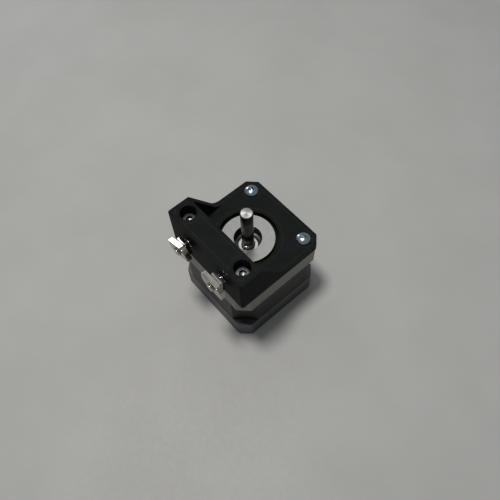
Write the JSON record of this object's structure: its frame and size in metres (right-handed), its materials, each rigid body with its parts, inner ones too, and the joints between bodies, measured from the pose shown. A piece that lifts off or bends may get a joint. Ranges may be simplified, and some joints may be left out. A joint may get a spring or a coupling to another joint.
{
  "type": "stepper motor with extrusion bracket",
  "caption": "Short square stepper motor with a bare round shaft and a printed face bracket whose tall bar carries tee nuts for a slotted aluminium extrusion.",
  "frame": {"origin": "centre of the motor's rear face, which it stands on", "axes": "+Z along the shaft towards its free end, -Y towards the extrusion, X along the bracket's bar"},
  "size_m": [0.0424, 0.0494, 0.054],
  "materials": {
    "black_print": "printed layers, satin",
    "front_alloy": "fine machined",
    "rear_alloy": "cast, satin",
    "black_lamination": "black coated laminations",
    "liner_nylon": "moulded",
    "coil_copper": "enamelled wire",
    "shaft_steel": "ground",
    "rotor_steel": "ground laminations",
    "magnet_alloy": "sintered",
    "spacer_brass": "turned",
    "bearing_steel": "polished",
    "shield_steel": "pressed sheet",
    "spring_steel": "rolled",
    "case_screw_steel": "plated",
    "connector_nylon": "moulded",
    "pin_tin": "tinned",
    "board_laminate": "solder mask",
    "zinc_plate": "bright zinc plating",
    "socket_screw_steel": "stainless",
    "bolt_nickel": "bright",
    "tee_nickel": "nickel plated"
  },
  "bodies": {
    "motor_and_bracket": {"printed_bracket": "black_print", "front_end_cap": "front_alloy", "stator_core": "black_lamination", "rear_end_cap": "rear_alloy", "front_insulator": "liner_nylon", "rear_insulator": "liner_nylon", "coil_1": "coil_copper", "coil_2": "coil_copper", "coil_3": "coil_copper", "coil_4": "coil_copper", "coil_5": "coil_copper", "coil_6": "coil_copper", "coil_7": "coil_copper", "coil_8": "coil_copper", "front_bearing_outer_ring": "bearing_steel", "front_bearing_shields": "shield_steel", "rear_bearing_outer_ring": "bearing_steel", "rear_bearing_shields": "shield_steel", "wave_washer": "spring_steel", "case_screws": "case_screw_steel", "connector_socket": "connector_nylon", "connector_pins": "pin_tin", "lead_board": "board_laminate", "coil_leads": "coil_copper", "far_left_pan_screw": "zinc_plate", "far_right_pan_screw": "zinc_plate", "left_bar_screw": "socket_screw_steel", "right_bar_screw": "socket_screw_steel", "left_tee_bolt": "bolt_nickel", "right_tee_bolt": "bolt_nickel"},
    "rotor": {"rotor_shaft": "shaft_steel", "front_rotor_cup": "rotor_steel", "rear_rotor_cup": "rotor_steel", "rotor_magnet": "magnet_alloy", "front_shaft_spacer": "spacer_brass", "rear_shaft_spacer": "spacer_brass", "front_bearing_inner_ring": "bearing_steel", "rear_bearing_inner_ring": "bearing_steel"},
    "front_ball_cage": {"front_bearing_cage": "spacer_brass", "front_bearing_balls": "bearing_steel"},
    "rear_ball_cage": {"rear_bearing_cage": "spacer_brass", "rear_bearing_balls": "bearing_steel"},
    "left_tee_nut": {"left_tee_nut": "tee_nickel"},
    "right_tee_nut": {"right_tee_nut": "tee_nickel"}
  },
  "joints": [
    {"name": "rotor_spin", "type": "hinge", "parent": "motor_and_bracket", "child": "rotor", "pos_m": [0, 0, 0.034], "axis": [0, 0, 1], "continuous": true},
    {"name": "front_cage_spin", "type": "hinge", "parent": "motor_and_bracket", "child": "front_ball_cage", "pos_m": [0, 0, 0.029], "axis": [0, 0, 1], "continuous": true},
    {"name": "rear_cage_spin", "type": "hinge", "parent": "motor_and_bracket", "child": "rear_ball_cage", "pos_m": [0, 0, 0.0047], "axis": [0, 0, 1], "continuous": true},
    {"name": "left_nut_turn", "type": "hinge", "parent": "motor_and_bracket", "child": "left_tee_nut", "pos_m": [-0.01, -0.02405, 0.04325], "axis": [0, -1, 0], "range_deg": [-25, 65]},
    {"name": "right_nut_turn", "type": "hinge", "parent": "motor_and_bracket", "child": "right_tee_nut", "pos_m": [0.01, -0.02405, 0.04325], "axis": [0, -1, 0], "range_deg": [0, 90]}
  ],
  "couplings": [
    {"joint": "front_cage_spin", "follows": "rotor_spin", "ratio": 0.3677},
    {"joint": "rear_cage_spin", "follows": "rotor_spin", "ratio": 0.3677}
  ]
}
